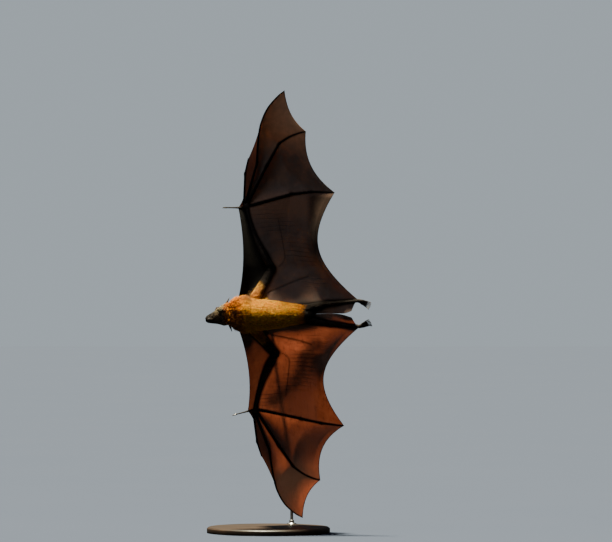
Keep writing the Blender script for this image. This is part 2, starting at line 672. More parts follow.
def claw_material():
    material, tree, surface, out, place = finish_material("claw_horn")
    streaks = speckle(tree, place, 900, 3)
    tree.links.new(
        blended(tree, graded(tree, streaks, 0.35, 0.7), (0.010, 0.008, 0.007), (0.055, 0.040, 0.030)),
        surface.inputs["Base Color"],
    )
    tree.links.new(graded(tree, streaks, 0.3, 0.7, 0.22, 0.38), surface.inputs["Roughness"])
    bumped(tree, surface, streaks, 0.0001)
    return material


def eye_material(name, centre, look):
    """A dark brown eye: a wide pupil, an amber-brown iris with fine rays and a wet surface."""
    material, tree, surface, out, place = finish_material(name)
    away = shader_node(tree, "ShaderNodeVectorMath", {0: place, 1: centre}, operation="SUBTRACT").outputs[0]
    away = shader_node(tree, "ShaderNodeVectorMath", {0: away}, operation="NORMALIZE").outputs[0]
    facing = shader_node(tree, "ShaderNodeVectorMath", {0: away, 1: look}, operation="DOT_PRODUCT").outputs["Value"]
    rays = speckle(tree, place, 1800, 3)
    iris = blended(tree, graded(tree, rays, 0.3, 0.7), (0.050, 0.016, 0.006), (0.15, 0.055, 0.016))
    eye = blended(tree, graded(tree, facing, 0.82, 0.86), iris, (0.003, 0.002, 0.002))
    white = blended(tree, graded(tree, facing, 0.52, 0.60), (0.030, 0.014, 0.010), eye)
    tree.links.new(white, surface.inputs["Base Color"])
    tree.links.new(graded(tree, rays, 0.2, 0.8, 0.05, 0.09), surface.inputs["Roughness"])
    surface.inputs["Coat Weight"].default_value = 0.6
    surface.inputs["Coat Roughness"].default_value = 0.03
    return material


def wood_material():
    """Dark stained wood with long grain and fine pores under a satin varnish."""
    material, tree, surface, out, place = finish_material("stained_wood")
    drawn = shader_node(tree, "ShaderNodeMapping", {"Vector": place, "Scale": (1.6, 30, 30)}).outputs[0]
    rings = speckle(tree, drawn, 1.0, 5, 0.65)
    wide_at = shader_node(tree, "ShaderNodeMapping", {"Vector": place, "Scale": (0.9, 9, 9)}).outputs[0]
    wide = speckle(tree, wide_at, 1.0, 2)
    pores_at = shader_node(tree, "ShaderNodeMapping", {"Vector": place, "Scale": (60, 1400, 1400)}).outputs[0]
    pores = speckle(tree, pores_at, 1.0, 2)
    figure = maths(tree, "ADD", maths(tree, "MULTIPLY", rings, 0.55), maths(tree, "MULTIPLY", wide, 0.45))
    colour = blended(tree, graded(tree, figure, 0.34, 0.66), (0.012, 0.007, 0.005), (0.046, 0.024, 0.014))
    colour = blended(tree, graded(tree, pores, 0.60, 0.72), colour, (0.006, 0.004, 0.003))
    tree.links.new(colour, surface.inputs["Base Color"])
    tree.links.new(graded(tree, pores, 0.4, 0.7, 0.42, 0.58), surface.inputs["Roughness"])
    bumped(tree, surface, pores, 0.0001, 0.5)
    surface.inputs["Coat Weight"].default_value = 0.15
    surface.inputs["Coat Roughness"].default_value = 0.35
    return material


def steel_material():
    """Brushed steel."""
    material, tree, surface, out, place = finish_material("brushed_steel")
    drawn = shader_node(tree, "ShaderNodeMapping", {"Vector": place, "Scale": (900, 900, 30)}).outputs[0]
    brush = speckle(tree, drawn, 1.0, 3)
    tree.links.new(blended(tree, brush, (0.30, 0.31, 0.32), (0.50, 0.51, 0.52)), surface.inputs["Base Color"])
    tree.links.new(graded(tree, brush, 0.2, 0.8, 0.24, 0.42), surface.inputs["Roughness"])
    surface.inputs["Metallic"].default_value = 1.0
    bumped(tree, surface, brush, 0.00005)
    return material


def floor_material():
    material, tree, surface, out, place = finish_material("pale_floor")
    tone = speckle(tree, place, 1.5, 4)
    seen = blended(tree, tone, (0.0505, 0.0615, 0.0955), (0.0535, 0.0645, 0.0985))
    direct = tree.nodes.new("ShaderNodeLightPath").outputs["Is Camera Ray"]
    tree.links.new(blended(tree, direct, (0.005, 0.0055, 0.006), seen), surface.inputs["Base Color"])
    surface.inputs["Roughness"].default_value = 1.0
    surface.inputs["Specular IOR Level"].default_value = 0.0
    return material


place_group = bat_place_group()
markings = markings_group(place_group)
leather = leather_group(place_group)
FUR = coat_material(markings)
SKIN = skin_material(markings, leather)
WING = wing_material(place_group, leather)
EAR = ear_material(leather)
HORN = claw_material()
WOOD = wood_material()
STEEL = steel_material()

# ------------------------------------------------------------------ skin of the body


def share_list(count):
    return [i / (count - 1) for i in range(count)]


def body_parts():
    """Trunk, arms and legs under the coat."""
    coat_depth = [9, 9, 9, 7.5, 6, 5.5, 5.5, 5, 5, 4.5, 4, 3.5, 2]
    parts = [station_form("trunk", TRUNK, coat_depth)]
    upper = np.array([shoulder - 0.1 * (elbow - shoulder), elbow])
    upper_line = np.linspace(upper[0], upper[1], 60)
    arm = limb("upper_arm", upper_line, share_list(7), np.array(UPPER_ARM_RADII) - (5, 4, 2.5, 1, 0, 0, 0))
    lower = limb("forearm", forearm_line, share_list(7), FOREARM_RADII)
    joint = ball("elbow", elbow, (9.4, 9.4, 8.6))
    leg = limb("leg", leg_line, share_list(6), np.array(LEG_RADII) - (3, 2.6, 1.2, 0.6, 0.2, 0))
    knob = ball("knee", knee, (7.2, 6.6, 6.4))
    side_parts = [arm, lower, joint, leg, knob]
    return parts + side_parts + [mirrored(part, part.name + "_right") for part in side_parts]


def hand_parts(word):
    """The wrist with the thumb of one side, without its claw."""
    along_arm = unit(wrist - elbow)
    carpus = np.linspace(wrist - 15 * along_arm, wrist + 8 * along_arm, 40)
    parts = [limb("wrist", carpus, share_list(7), (5, 5.5, 6.8, 8.2, 8.8, 7.8, 5.0), squash=0.7)]
    thumb = bone_line(thumbs[word])
    parts.append(limb("thumb", thumb, (0, 0.2, 0.34, 0.42, 0.7, 0.92, 1), (3.6, 2.7, 2.9, 2.4, 2.0, 1.8, 1.5)))
    return parts if word == "left" else [on_right(part) for part in parts]


def on_right(part):
    part.data.transform(Matrix.Diagonal((1, -1, 1, 1)))
    part.data.flip_normals()
    return part


def foot_frame():
    back = unit(unit(ankle - knee) * 0.2 + np.array([-1, -0.58, -0.35]) * 0.8)
    across = unit(np.cross(UP, back))
    down = unit(np.cross(across, back))
    return back, across, -down if down[2] > 0 else down


def toe_lines():
    """The line of each toe and the line of its claw."""
    back, across, down = foot_frame()
    for k in (-2, -1, 0, 1, 2):
        turn = math.radians(k * 4.4)
        forward = back * math.cos(turn) + across * math.sin(turn)
        root = ankle + back * (9.5 - 0.6 * abs(k)) + across * k * 2.5
        spot = lambda ahead, below: root + forward * ahead + down * below
        toe = smooth_line([root, spot(5, -0.7), spot(11, -1.2), spot(17.5, 0.2), spot(21.5, 2.8)])
        claw = smooth_line([spot(19.8, 1.5), spot(24.0, 3.8), spot(25.6, 7.4), spot(24.2, 11.9)])
        yield toe, claw


def foot_parts(word):
    """The foot of one side with its toes, without the claws."""
    back, across, down = foot_frame()
    heel = ankle + unit(knee - ankle) * 14
    line = smooth_line([heel, ankle - unit(ankle - knee) * 3, ankle + 5 * back, ankle + 15 * back - down * 0.8])
    shares = (0, 0.28, 0.45, 0.6, 0.74, 0.88, 1)
    flatness = (1, 0.96, 0.86, 0.72, 0.56, 0.42, 0.34)
    sole = limb("sole", line, shares, (4.2, 4.4, 4.9, 5.7, 6.2, 6.2, 5.2), squash=flatness)
    parts = [sole, ball("heel", ankle - back * 1.5 + down * 1.2, (4.6, 4.2, 3.4))]
    for toe, claw in toe_lines():
        shares = (0, 0.28, 0.42, 0.52, 0.62, 0.78, 0.86, 1)
        parts.append(limb("toe", toe, shares, (2.2, 1.5, 1.6, 1.95, 1.5, 1.4, 1.6, 1.2), sides=12))
    return parts if word == "left" else [on_right(part) for part in parts]


def head_side(x, z):
    """Half width of the head at a place along it and a height."""
    half = [np.interp(x, HEAD[:, 0], HEAD[:, k]) for k in range(1, 5)]
    height = (z - half[0]) / np.where(z > half[0], half[2], half[3])
    return half[1] * np.sqrt(np.maximum(0.02, 1 - height**2))


def mouth_line():
    share = np.array([0, 0.2, 0.4, 0.6, 0.8, 0.93])
    x = 34 + 33 * share
    z = -7.1 + 1.6 * share + 1.5 * (1 - share) ** 2
    y = head_side(x, z)
    left = np.stack([x, y, z], axis=1)
    return smooth_line([*left, (68.5, 0, -5.4), *(left * (1, -1, 1))[::-1]])


def head_parts():
    """Skull, muzzle, lids, nose and jaw in the head's own frame."""
    stations = np.insert(HEAD, 1, 0, axis=1)
    coat_depth = [4, 5, 5, 4, 3, 2, 1.3, 0.8, 0.4, 0.2, 0]
    parts = [station_form("skull", stations, coat_depth)]
    for sign in (1, -1):
        centre = Vector((EYE_AT[0], sign * EYE_AT[1], EYE_AT[2]))
        look = Vector((EYE_LOOK[0], sign * EYE_LOOK[1], EYE_LOOK[2])).normalized()
        lids = begin("lids")
        bpy.ops.mesh.primitive_torus_add(major_radius=5.9, minor_radius=1.7, major_segments=40, minor_segments=14)
        turn = look.to_track_quat("Z", "Y").to_matrix().to_4x4()
        place_selected(Matrix.Translation(centre + look * 2.8) @ turn @ Matrix.Diagonal((1.1, 0.95, 1, 1)))
        bpy.ops.object.mode_set(mode="OBJECT")
        socket = ball("socket", centre - look * 2.4, (7.4, 6.4, 6.8))
        brow = ball("brow", (27, sign * 12.5, 13.2), (9, 4.6, 4.4))
        cheek = ball("cheek", (22, sign * 17, -6), (12, 8, 9))
        nostril = ball("nostril", (NOSTRIL_AT[0] - 0.4, sign * NOSTRIL_AT[1], NOSTRIL_AT[2]), (3.2, 2.9, 2.9))
        ear_root = ball("ear_root", (7, sign * 21, 11), (7.5, 6.5, 7))
        parts += [lids, socket, brow, cheek, nostril, ear_root]
    parts.append(ball("nose_bridge", (58, 0, 3.6), (10, 3.6, 3.0)))
    parts.append(ball("chin", (58, 0, -11.6), (7.5, 4.6, 3.0)))
    return parts


def head_creases(piece):
    """Presses the mouth, nostrils, nose groove and lid creases into the head, and raises the lips."""
    points, normals = points_of(piece), normals_of(piece)
    shift = np.zeros(len(points))
    mouth = mouth_line()[::3]
    apart = np.min(np.linalg.norm(points[:, None] - mouth[None], axis=2), axis=1)
    shift -= 1.7 * np.exp(-((apart / 1.0) ** 2))
    shift += 0.55 * np.exp(-(((apart - 2.1) / 0.9) ** 2))
    for sign in (1, -1):
        x, y, z = NOSTRIL_AT
        hole = np.linalg.norm(points - (x + 1.9, sign * (y + 1.9), z + 0.3), axis=1)
        shift -= 2.4 * np.exp(-((hole / 1.15) ** 2))
        centre = np.array([EYE_AT[0], sign * EYE_AT[1], EYE_AT[2]])
        look = unit(np.array([EYE_LOOK[0], sign * EYE_LOOK[1], EYE_LOOK[2]]))
        away = points - centre
        ahead = away @ look
        ring = np.linalg.norm(away - ahead[:, None] * look, axis=1)
        shift -= 0.7 * np.exp(-(((ring - 8.9) / 0.8) ** 2)) * (ahead > -3)
        whisker = np.sin(points[:, 0] * 1.9 + points[:, 2] * 0.7) * np.sin(points[:, 2] * 2.1)
        lip = np.exp(-(((points[:, 2] + 2.8) / 2.5) ** 2)) * (points[:, 0] > 46) * (points[:, 0] < 63)
        shift += 0.16 * whisker * lip * (points[:, 1] * sign > 2)
    groove = np.exp(-((points[:, 1] / 0.8) ** 2)) * (points[:, 0] > 66) * (points[:, 2] > -6)
    shift -= 1.0 * groove
    set_points(piece, points + normals * shift[:, None])


def build_skin():
    """One skin over the flesh: body, head, wrists, thumbs and feet."""
    trunk = fused("skin", body_parts(), 1.7, 14)
    head = fused("head_skin", head_parts(), 0.85, 7)
    head_creases(head)
    apply_modifier(head, "SMOOTH", factor=0.5, iterations=1)
    head.data.transform(HEAD_TURN)
    hands = fused("hands", hand_parts("left") + hand_parts("right"), 0.8, 4)
    feet = fused("feet", foot_parts("left") + foot_parts("right"), 0.5, 6)
    return joined("skin", [trunk, head, hands, feet])


skin = build_skin()

# ------------------------------------------------------------------ coat

TUFT_FACES = np.array(
    [[0, 2, 1], [0, 1, 4], [0, 4, 3], [1, 2, 5], [1, 5, 4], [2, 0, 3], [2, 3, 5], [3, 4, 6], [4, 5, 6], [5, 3, 6]]
)


def on_left(points):
    """Points of the right side brought over to the left."""
    return np.stack([points[:, 0], np.abs(points[:, 1]), points[:, 2]], axis=1)


def nearest_on(line, points):
    """Nearest sample of a line to each point: its distance and its share of the way."""
    samples = line[::6]
    gaps = np.linalg.norm(points[:, None] - samples[None], axis=2)
    index = gaps.argmin(axis=1)
    return gaps[np.arange(len(points)), index], index / (len(samples) - 1)


def station_at(x, column):
    return np.interp(x, TRUNK[::-1, 0], TRUNK[::-1, column])


def regions_of(points):
    """Which part of the body each point is on: 0 trunk, 1 head, 2 arm, 3 leg, 4 bare."""
    sided = on_left(points)
    y = points[:, 1] - station_at(points[:, 0], 1)
    z = points[:, 2] - station_at(points[:, 0], 2)
    trunk = np.sqrt((y / station_at(points[:, 0], 3)) ** 2 + (z / station_at(points[:, 0], 4)) ** 2)
    trunk = np.where((points[:, 0] > -131) & (points[:, 0] < 96), trunk, 9)
    own = out_of_head(points)
    half = [np.interp(own[:, 0], HEAD[:, 0], HEAD[:, k]) for k in (1, 2, 3)]
    head = np.sqrt((own[:, 1] / half[1]) ** 2 + ((own[:, 2] - half[0]) / half[2]) ** 2)
    head = np.where((own[:, 0] > -4) & (own[:, 0] < 72), head * 0.93, 9)
    arm_gap, arm_share = nearest_on(arm_line, sided)
    leg_gap, leg_share = nearest_on(leg_line, sided)
    arm = arm_gap / np.interp(arm_share, [0, 0.3, 0.4, 1], [17, 9, 9, 6])
    leg = leg_gap / np.interp(leg_share, [0, 0.4, 1], [11, 6.5, 4.5])
    region = np.argmin(np.stack([trunk, head, arm, leg]), axis=0)
    bare = (region == 2) & (arm_share > 0.46) | (region == 3) & (leg_share > 0.97) | (sided[:, 1] > 130)
    return np.where(bare, 4, region)


def drifting(points, size):
    """A slow, smooth wander of direction over the body."""
    waves = np.array([[0.9, 0.3, 0.4], [-0.35, 1.0, 0.2], [0.2, -0.5, 1.1]])
    return np.sin(points @ waves.T / size + (0, 2, 4)) + 0.6 * np.sin(points @ waves / size * 2.3 + (5, 1, 3))


def tuft_field(points, normals, region, random):
    """Lie, length, width, lift and tufts per square millimetre at each point of a region."""
    count = len(points)
    one = np.ones(count)
    if region == 0:
        ruff = np.clip((points[:, 0] - 48) / 16, 0, 1)
        rump = np.clip((-points[:, 0] - 85) / 30, 0, 1)
        lie = np.array([-1.0, 0, 0]) + normals * (0.30 * ruff)[:, None]
        front = np.clip((points[:, 0] - 74) / 18, 0, 1)
        length = (13 + 2 * (normals[:, 2] < 0)) * (1 - 0.45 * rump) + 8.5 * ruff - 5 * front
        width = 0.88 + 0.22 * ruff
        lift = 0.24 + 0.14 * ruff
        density = 1.85 - 0.55 * ruff
    elif region == 1:
        own = out_of_head(points)
        sided = on_left(own)
        crown = np.clip((44 - own[:, 0]) / 44, 0, 1)
        turn = np.array(HEAD_TURN)[:3, :3]
        lie = turn @ np.array([-1.0, 0, 0.0]) + normals * (0.22 * crown**2)[:, None]
        length = 2.2 + 1.0 * np.clip((62 - own[:, 0]) / 16, 0, 1) + 9 * crown**1.4
        width = 0.34 + 0.40 * crown
        lift = 0.09 + 0.14 * crown
        eye = np.linalg.norm(sided - EYE_AT, axis=1)
        ear = np.linalg.norm(sided - (10, 24, 14), axis=1)
        mouth = np.min(np.linalg.norm(own[:, None] - mouth_line()[None, ::8], axis=2), axis=1)
        length = np.where(ear < 9, length * 0.55, length)
        chin = (own[:, 0] > 60) & (own[:, 2] < -5)
        bare = (eye < 9.0) | (mouth < 1.6) | (own[:, 0] > 65) | chin
        density = np.where(bare, 0, 2.9 - 1.5 * crown)
    elif region == 2:
        share = nearest_on(arm_line, on_left(points))[1]
        along_arm = unit(elbow - shoulder)
        lie = np.where(points[:, 1:2] > 0, along_arm, along_arm * (1, -1, 1)) + (-0.6, 0, 0)
        fade = np.clip((0.42 - share) / 0.42, 0, 1)
        length = 4.5 + 9.5 * fade
        width = 0.66 + 0.26 * fade
        lift = 0.20 * one
        density = np.interp(share, [0.34, 0.46], [1.35, 0.5])
    else:
        share = nearest_on(leg_line, on_left(points))[1]
        lie = np.tile([-1.0, 0, 0], (count, 1))
        length = 3.4 + 6 * (1 - share)
        width = 0.52 + 0.3 * (1 - share)
        lift = 0.16 * one
        density = np.interp(share, [0.7, 0.86, 0.97], [1.6, 1.3, 0.3])
    lie = lie + 0.10 * drifting(points, 9) + 0.14 * (random.random((count, 3)) - 0.5)
    lie = unit(lie - normals * np.sum(lie * normals, axis=1)[:, None] * 0.85)
    return lie, length, width, lift, density


def skin_samples(piece, random, per_mm2):
    """Random spots over a piece's faces, with smooth normals."""
    mesh = piece.data
    mesh.calc_loop_triangles()
    corners = np.empty(len(mesh.loop_triangles) * 3, np.int32)
    mesh.loop_triangles.foreach_get("vertices", corners)
    corners = corners.reshape(-1, 3)
    points, normals = points_of(piece), normals_of(piece)
    a, b, c = (points[corners[:, k]] for k in range(3))
    area = np.linalg.norm(np.cross(b - a, c - a), axis=1) / 2
    chosen = random.choice(len(corners), int(area.sum() * per_mm2), p=area / area.sum())
    u, v = random.random((2, len(chosen)))
    flip = u + v > 1
    u[flip], v[flip] = 1 - u[flip], 1 - v[flip]
    weights = np.stack([1 - u - v, u, v], axis=1)[..., None]
    spots = (points[corners[chosen]] * weights).sum(axis=1)
    return spots, unit((normals[corners[chosen]] * weights).sum(axis=1))


def unwrap_spots(spots, normals, region):
    """Each root's place on the skin laid flat: round the part across, and along the part upwards."""
    if region == 0:
        turn = np.arctan2(spots[:, 2] - station_at(spots[:, 0], 2), spots[:, 1] - station_at(spots[:, 0], 1))
        flat = np.stack([turn, spots[:, 0]], axis=1)
    elif region == 1:
        own = out_of_head(spots)
        flat = np.stack([np.arctan2(own[:, 1], -own[:, 2]), own[:, 0]], axis=1)
    elif region == 5:
        flat = np.stack([spots[:, 1] + np.where(normals[:, 2] < 0, 0, 220), spots[:, 0]], axis=1)
    else:
        line = arm_line if region == 2 else leg_line
        sided = on_left(spots)
        share = nearest_on(line, sided)[1]
        off = sided - at_share(line, share)
        turn = np.arctan2(off[:, 2], off[:, 0] if region == 2 else off[:, 1])
        flat = np.stack([turn + np.where(spots[:, 1] < 0, 7, 0), share], axis=1)
    low, high = flat.min(axis=0), flat.max(axis=0)
    return 0.006 + 0.985 * (flat - low) / (high - low)


def grow_tufts(name, spots, normals, field, region, random, slot):
    """Grows thin tapered tufts from the skin, drawn together in locks, as one piece."""
    lie, length, width, lift, density = field
    count = len(spots)
    length = length * (0.75 + 0.5 * random.random(count))
    width = width * (0.75 + 0.5 * random.random(count))
    lift = lift * (0.6 + 0.9 * random.random(count))
    tips = spots + lie * (length * np.sqrt(1 - lift**2))[:, None] + normals * (length * lift)[:, None]
    leaders = random.choice(count, max(1, count // 14), replace=False)
    tree = KDTree(len(leaders))
    for i in leaders:
        tree.insert(spots[i], int(i))
    tree.balance()
    leader = np.array([tree.find(spot)[1] for spot in spots])
    pull = 0.45 * random.random(count)[:, None] + 0.12
    tips = tips + (tips[leader] - tips) * pull * np.exp(
        -(np.linalg.norm(spots[leader] - spots, axis=1) / 9) ** 2
    )[:, None]
    low = spots - normals * 1.0
    middle = spots + (tips - spots) * 0.5 + normals * (length * 0.10)[:, None]
    rings = []
    for centre, toward, breadth in ((low, middle - low, 1.0), (middle, tips - middle, 0.78)):
        growth = unit(toward)
        side = unit(np.cross(normals, growth))
        above = np.cross(growth, side)
        half = (width * breadth / 2)[:, None]
        rings += [centre + side * half - above * half * 0.25, centre + above * half * 0.65]
        rings.append(centre - side * half - above * half * 0.25)
    points = np.stack([*rings, tips], axis=1)
    faces = (TUFT_FACES[None] + 7 * np.arange(count)[:, None, None]).reshape(-1, 3)
    shade = np.clip(0.5 + 0.22 * random.standard_normal(count) + 0.16 * random.standard_normal(count)[leader], 0, 1)
    along = np.tile([0, 0, 0, 0.5, 0.5, 0.5, 1.0], count)
    piece = mesh_piece(name, points.reshape(-1, 3), faces, {"along_tuft": along, "tuft_shade": np.repeat(shade, 7)})
    patch = np.array([[-1.3, 0], [0, 0], [1.3, 0], [-1.3, 1.5], [0, 1.5], [1.3, 1.5], [0, 3]]) * 0.001
    flat = (unwrap_spots(spots, normals, region)[:, None] + patch[None]).reshape(-1, 2)
    layer = piece.data.uv_layers.new(name="OFBake")
    layer.uv.foreach_set("vector", flat[faces.ravel()].astype(np.float32).ravel())
    to_stand(piece, FUR, slot)
    return piece


COATS = {
    "coat_belly_fore": (0, lambda p, n: (n[:, 2] < 0) & (p[:, 0] > -8) & (p[:, 0] <= 52), "gold_fur"),
    "coat_belly_rear": (0, lambda p, n: (n[:, 2] < 0) & (p[:, 0] <= -8), "gold_fur"),
    "coat_back_fore": (0, lambda p, n: (n[:, 2] >= 0) & (p[:, 0] > -8) & (p[:, 0] <= 52), "gold_fur"),
    "coat_back_rear": (0, lambda p, n: (n[:, 2] >= 0) & (p[:, 0] <= -8), "leg_fur"),
    "coat_ruff": (0, lambda p, n: p[:, 0] > 52, "rust_fur"),
    "coat_head": (1, lambda p, n: p[:, 0] > 0, "face_fur"),
    "coat_arms": (2, lambda p, n: p[:, 0] > -500, "gold_fur"),
    "coat_legs": (3, lambda p, n: p[:, 0] > -500, "leg_fur"),
}


def build_coat():
    random = np.random.default_rng(11)
    spots, normals = skin_samples(skin, random, 3.0)
    region = regions_of(spots)
    made = []
    for name, (part, chosen, slot) in COATS.items():
        pick = (region == part) & chosen(spots, normals)
        here, facing = spots[pick], normals[pick]
        field = tuft_field(here, facing, part, random)
        keep = random.random(len(here)) < field[4] / 3.0
        field = [values[keep] for values in field]
        made.append(grow_tufts(name, here[keep], facing[keep], field, part, random, slot))
    return made


coats = build_coat()
FLESH = ["torso", "neck_and_ruff", "head"]
for word in ("left", "right"):
    FLESH += [f"{part}_{word}" for part in ("upper_arm", "forearm", "leg", "foot", "thumb")]
to_stand(skin, SKIN, "dark_skin", FLESH)

# ------------------------------------------------------------------ wings

MEMBRANE = 0.5


def free_edge(start, end, towards, sag, lift, pinch, shift=0.0):
    """A free edge that hangs between two points, drawn in towards a third, most at shift past its middle."""
    chord = end - start
    middle = (start + end) / 2
    inward = (towards - middle) * (1, 1, 0)
    inward = unit(inward - chord * np.dot(inward, chord) / np.dot(chord, chord))
    reach = (1 + pinch) / pinch
    pull = middle + inward * reach * sag * np.linalg.norm(chord) + UP * reach * lift + chord * shift
    t = np.linspace(0, 1, 13)[:, None]
    weights = (1 - t) ** 2, 2 * pinch * t * (1 - t), t**2
    return smooth_line((start * weights[0] + pull * weights[1] + end * weights[2]) / sum(weights))


def spanned(front, rear, inner, outer, billow, across, down):
    """A surface between four edges, bulged towards the back. across runs along front and rear."""
    u, v = np.meshgrid(across, down)
    edges = [edge(share)[None] for edge, share in ((front, across), (rear, across))]
    sides = [edge(share)[:, None] for edge, share in ((inner, down), (outer, down))]
    f0, f1, r0, r1 = front(0.0), front(1.0), rear(0.0), rear(1.0)
    u, v = u[..., None], v[..., None]
    flat = edges[0] * (1 - v) + edges[1] * v + sides[0] * (1 - u) + sides[1] * u
    flat = flat - f0 * (1 - u) * (1 - v) - f1 * u * (1 - v) - r0 * (1 - u) * v - r1 * u * v
    fullness = np.sin(np.pi * u) * np.sin(np.pi * np.minimum(1, v * 1.05 + 0.02)) ** 0.8
    return flat + UP * billow * fullness


def part_of(line, start=0.0, end=1.0):
    return lambda share: at_share(line, start + (end - start) * np.asarray(share, float))


def straight(a, b):
    a, b = np.asarray(a, float), np.asarray(b, float)
    return lambda share: a + (b - a) * np.asarray(share, float)[..., None]


def gathered(count, weight=0.85):
    """Shares from 0 to 1 that lie closer together near both ends."""
    even = np.linspace(0, 1, count + 1)
    return weight * (0.5 - 0.5 * np.cos(np.pi * even)) + (1 - weight) * even


def gaps_to(line, points):
    flat = points.reshape(-1, 3)
    nearest, index = np.full(len(flat), 1e9), np.zeros(len(flat), int)
    for start in range(0, len(flat), 4000):
        gaps = np.linalg.norm(flat[start : start + 4000, None] - line[None, ::3], axis=2)
        index[start : start + 4000] = gaps.argmin(axis=1) * 3
        nearest[start : start + 4000] = gaps.min(axis=1)
    return nearest.reshape(points.shape[:2]), index.reshape(points.shape[:2])


# The thin muscle sheet across the middle of the wing and the vessel beside it, as (x, y) from the armpit out
MUSCLE = smooth_line([(-132, 92, 0), (-101, 136, 0), (-89, 173, 0), (-70, 206, 0), (-42, 232, 0), (-12, 254, 0)])
VESSEL = smooth_line([(-24, 112, 0), (-46, 121, 0), (-58, 137, 0), (-56, 171, 0), (-52, 200, 0), (-45, 243, 0)])
ARMPIT_FOLD = np.linspace((10, 50, 0), (-118, 92, 0), 361)


def wing_panel(surface, bones, hem_line, strands=False, dusk=0.0, veil=0.0):
    """A closed thin sheet over a grid, swelling into the bones beside it, with a cord-like hem.
    dusk darkens the whole panel and veil the light through it."""
    rows, columns = surface.shape[:2]
    out = unit(np.cross(np.gradient(surface, axis=1), np.gradient(surface, axis=0)))
    if out[..., 2].mean() < 0:
        out = -out
        surface, out = surface[:, ::-1], out[:, ::-1]
    swell = np.zeros((rows, columns))
    band = np.full((rows, columns), dusk)
    for line, widths in bones:
        gap, index = gaps_to(line, surface)
        radius = widths[index]
        swell = np.maximum(swell, 0.5 * radius * np.exp(-((gap / (1.35 * radius)) ** 2)))
        band = np.maximum(band, np.exp(-((np.maximum(gap - radius, 0) / (1.0 + 0.75 * radius)) ** 2)))
    edge_gap = gaps_to(hem_line, surface)[0]
    hem = np.exp(-((edge_gap / 1.3) ** 2))
    zone = np.zeros((rows, columns))
    muscle = np.full((rows, columns), veil)
    if strands:
        flat = surface * (1, 1, 0)
        y = surface[..., 1]
        muscle_gap, vessel_gap, fold_gap = (gaps_to(line, flat)[0] for line in (MUSCLE, VESSEL, ARMPIT_FOLD))
        zone = np.exp(-((muscle_gap / 36) ** 4))
        muscle = veil + np.exp(-((muscle_gap / 17) ** 2)) * (1 - 0.5 * veil)
        pleat = np.sin(2 * np.pi * (y + 4 * np.sin(surface[..., 0] / 37)) / 11.5) * (0.6 + 0.4 * np.sin(y / 23))
        quiet = np.clip((edge_gap - 8) / 20, 0, 1) * (1 - band)
        crease = np.exp(-((fold_gap / 2.4) ** 2))
        vessel = np.exp(-((vessel_gap / 1.4) ** 2))
        band = np.maximum(band, np.maximum(0.6 * crease, 0.55 * vessel))
        surface = surface + out * (0.5 * pleat * zone * quiet + 0.9 * crease)[..., None]
    half = MEMBRANE / 2 + swell + 0.28 * np.exp(-((edge_gap / 0.8) ** 2))
    top, bottom = surface + out * half[..., None], surface - out * half[..., None]
    points = np.concatenate([top.reshape(-1, 3), bottom.reshape(-1, 3)])
    ids = np.arange(rows * columns).reshape(rows, columns)
    under = rows * columns
    a, b, c, d = ids[:-1, :-1].ravel(), ids[:-1, 1:].ravel(), ids[1:, 1:].ravel(), ids[1:, :-1].ravel()
    rim = np.concatenate([ids[0, :-1], ids[:-1, -1], ids[-1, :0:-1], ids[:0:-1, 0]])
    ahead = np.roll(rim, -1)
    faces = np.concatenate(
        [
            np.stack([a, b, c, d], axis=1)[:, ::-1],
            np.stack([a, b, c, d], axis=1) + under,
            np.stack([rim, ahead, ahead + under, rim + under], axis=1),
        ]
    )
    values = {"bone_band": band, "hem": hem, "strand_zone": zone, "muscle_sheet": muscle}
    values = {word: np.tile(value.ravel(), 2) for word, value in values.items()}
    return points, faces, {**values, "belly_side": np.repeat([0.0, 1.0], rows * columns)}


def finger_tube(line, widths, sides=10, step=4):
    """A closed round finger along its line, as quads, with its tip drawn in."""
    line, widths = line[::step], widths[::step]
    heading = headings(line)
    flat = unit(UP - heading * (heading @ UP)[:, None])
    across = np.cross(heading, flat)
    turn = 2 * np.pi * np.arange(sides) / sides
    ring = np.cos(turn)[None, :, None] * across[:, None] + np.sin(turn)[None, :, None] * flat[:, None]
    body = line[:, None] + ring * widths[:, None, None]
    points = np.concatenate([body.reshape(-1, 3), line[:1] - heading[:1], line[-1:] + heading[-1:] * widths[-1]])
    ids = np.arange(len(line) * sides).reshape(len(line), sides)
    a, b = ids[:-1], np.roll(ids[:-1], -1, axis=1)
    faces = [np.stack([a, b, b + sides, a + sides], axis=2).reshape(-1, 4)]
    first, last = len(points) - 2, len(points) - 1
    for k in range(0, sides, 2):
        faces.append([[first, ids[0, (k + 2) % sides], ids[0, k + 1], ids[0, k]]])
        faces.append([[last, ids[-1, k], ids[-1, k + 1], ids[-1, (k + 2) % sides]]])
    one = np.ones(len(points))
    none = 0 * one
    values = {"bone_band": one, "hem": none, "strand_zone": none, "muscle_sheet": none, "belly_side": one}
    return points, np.concatenate(faces), values


def bone_width(line, radii):
    return np.interp(np.linspace(0, 1, len(line)), np.linspace(0, 1, len(radii)), radii)


